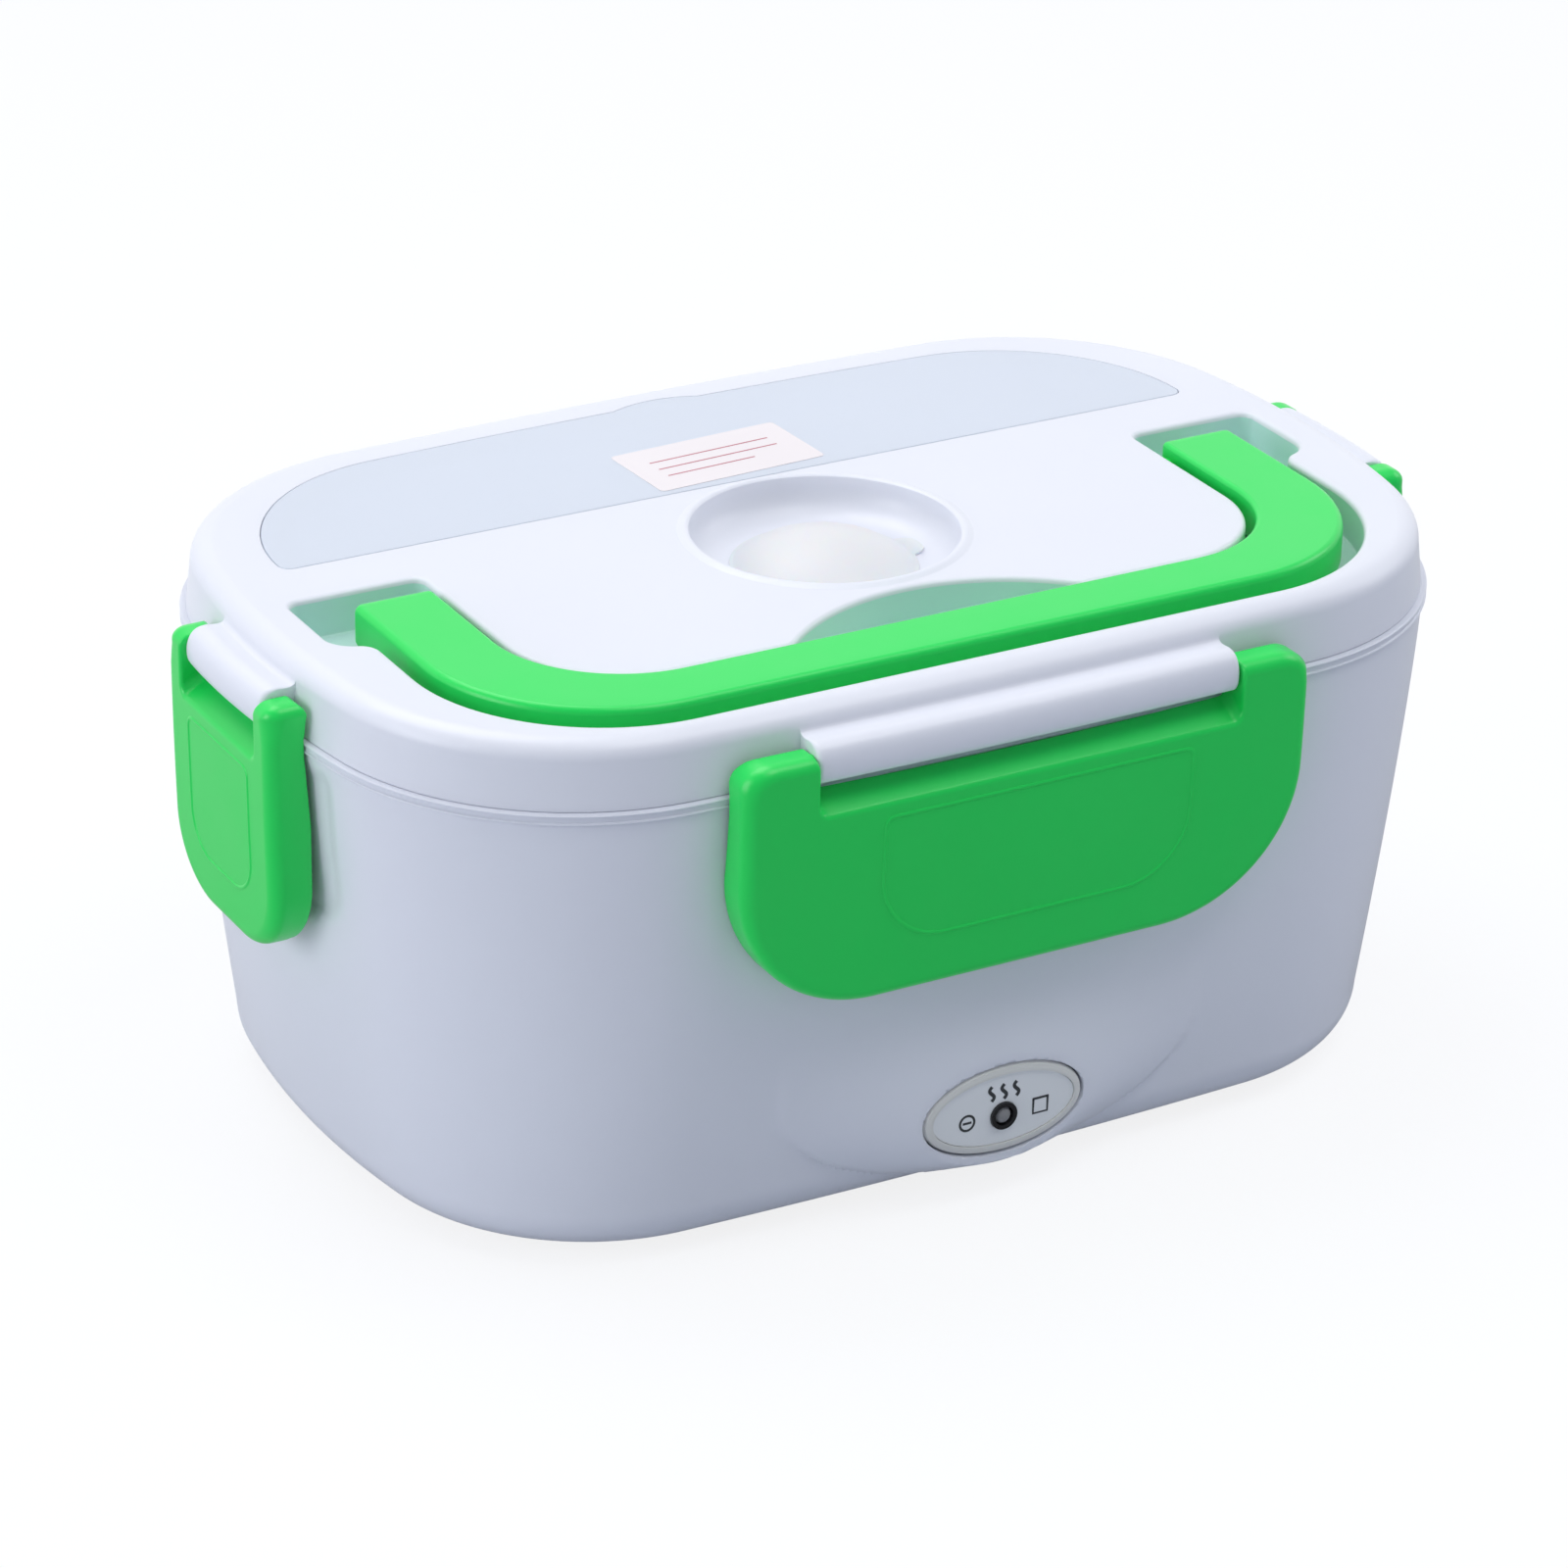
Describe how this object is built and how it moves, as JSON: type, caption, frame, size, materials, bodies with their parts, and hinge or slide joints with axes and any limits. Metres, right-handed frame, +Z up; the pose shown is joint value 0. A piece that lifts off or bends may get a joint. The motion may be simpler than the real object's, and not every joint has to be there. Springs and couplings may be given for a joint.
{
  "type": "electric lunch box",
  "caption": "Heated lunch box with a lift-off latched lid, folding carry handle, vent plug, spoon compartment, food tray and side cup.",
  "frame": {"origin": "under the middle of the box at floor level, on the plane of the feet", "axes": "+X to the right along the long side, +Y to the back (the folded handle's bar and the lamp panel are at -Y), +Z up"},
  "size_m": [0.2392, 0.1612, 0.1062],
  "materials": {
    "white_plastic": "satin gloss, cool white",
    "liner_plastic": "satin",
    "plate": "brushed",
    "red_silicone": "matte",
    "heater_case": "anodised",
    "insulation": "felted",
    "steel": "plated",
    "dark_plastic": "matte",
    "fuse_body": "glazed",
    "brown_lead": "satin",
    "blue_lead": "satin",
    "white_lead": "satin",
    "brass_pins": "bright",
    "silver_plastic": "silver, satin",
    "panel_film": "silver grey film",
    "black_plastic": "gloss",
    "lens": "smoked clear",
    "board": "satin",
    "rubber_feet": "matte",
    "tray_plastic": "satin, food grade",
    "green_plastic": "gloss",
    "clear_silicone": "matte",
    "cover_plastic": "translucent, bluish",
    "label": "paper film",
    "plug_silicone": "soft, off-white"
  },
  "bodies": {
    "base": {"outer_shell": "white_plastic", "chamber_liner": "liner_plastic", "heating_plate": "plate", "plate_seal": "red_silicone", "ptc_heater": "heater_case", "insulation_pad": "insulation", "heater_bracket": "steel", "bracket_screws": "steel", "thermostat": "dark_plastic", "thermal_fuse": "fuse_body", "live_lead": "brown_lead", "neutral_lead": "blue_lead", "lamp_lead": "white_lead", "inlet_socket": "dark_plastic", "inlet_pins": "brass_pins", "lamp_bezel": "silver_plastic", "lamp_panel": "panel_film", "lamp_collar": "black_plastic", "lamp_lens": "lens", "lamp_board": "board", "base_cover": "liner_plastic", "base_screws": "steel", "base_feet": "rubber_feet"},
    "tray": {"food_tray": "tray_plastic"},
    "cup": {"side_cup": "tray_plastic"},
    "cup_lid": {"side_cup_lid": "green_plastic"},
    "lid": {"lid_shell": "white_plastic", "lid_liner": "liner_plastic", "lid_seal": "clear_silicone"},
    "spoon_lid": {"spoon_cover": "cover_plastic", "cover_label": "label"},
    "plug": {"vent_plug": "plug_silicone"},
    "handle": {"carry_handle": "green_plastic"},
    "front_latch": {"latch_front": "green_plastic"},
    "back_latch": {"latch_back": "green_plastic"},
    "left_latch": {"latch_left": "green_plastic"},
    "right_latch": {"latch_right": "green_plastic"}
  },
  "joints": [
    {"name": "lid_lift", "type": "slide", "parent": "base", "child": "lid", "axis": [0, 0, 1], "range_m": [0, 0.12]},
    {"name": "tray_lift", "type": "slide", "parent": "base", "child": "tray", "axis": [0, 0, 1], "range_m": [0, 0.06]},
    {"name": "cup_lift", "type": "slide", "parent": "base", "child": "cup", "axis": [0, 0, 1], "range_m": [0, 0.084]},
    {"name": "cup_lid_lift", "type": "slide", "parent": "base", "child": "cup_lid", "axis": [0, 0, 1], "range_m": [0, 0.102]},
    {"name": "spoon_cover_lift", "type": "slide", "parent": "lid", "child": "spoon_lid", "axis": [0, 0, 1], "range_m": [0, 0.05]},
    {"name": "vent_plug_lift", "type": "slide", "parent": "lid", "child": "plug", "axis": [0, 0, 1], "range_m": [0, 0.015]},
    {"name": "handle_swing", "type": "hinge", "parent": "lid", "child": "handle", "pos_m": [0, -0.002, 0.1014], "axis": [-1, 0, 0], "range_deg": [0, 95]},
    {"name": "front_latch_swing", "type": "hinge", "parent": "lid", "child": "front_latch", "pos_m": [0, -0.0766, 0.0976], "axis": [-1, 0, 0], "range_deg": [0, 105]},
    {"name": "back_latch_swing", "type": "hinge", "parent": "lid", "child": "back_latch", "pos_m": [0, 0.0766, 0.0976], "axis": [1, 0, 0], "range_deg": [0, 105]},
    {"name": "left_latch_swing", "type": "hinge", "parent": "lid", "child": "left_latch", "pos_m": [-0.1156, 0, 0.0976], "axis": [0, 1, 0], "range_deg": [0, 105]},
    {"name": "right_latch_swing", "type": "hinge", "parent": "lid", "child": "right_latch", "pos_m": [0.1156, 0, 0.0976], "axis": [0, -1, 0], "range_deg": [0, 105]}
  ],
  "couplings": [
    {"joint": "tray_lift", "follows": "lid_lift", "ratio": 0.5},
    {"joint": "cup_lift", "follows": "lid_lift", "ratio": 0.7},
    {"joint": "cup_lid_lift", "follows": "lid_lift", "ratio": 0.85}
  ]
}
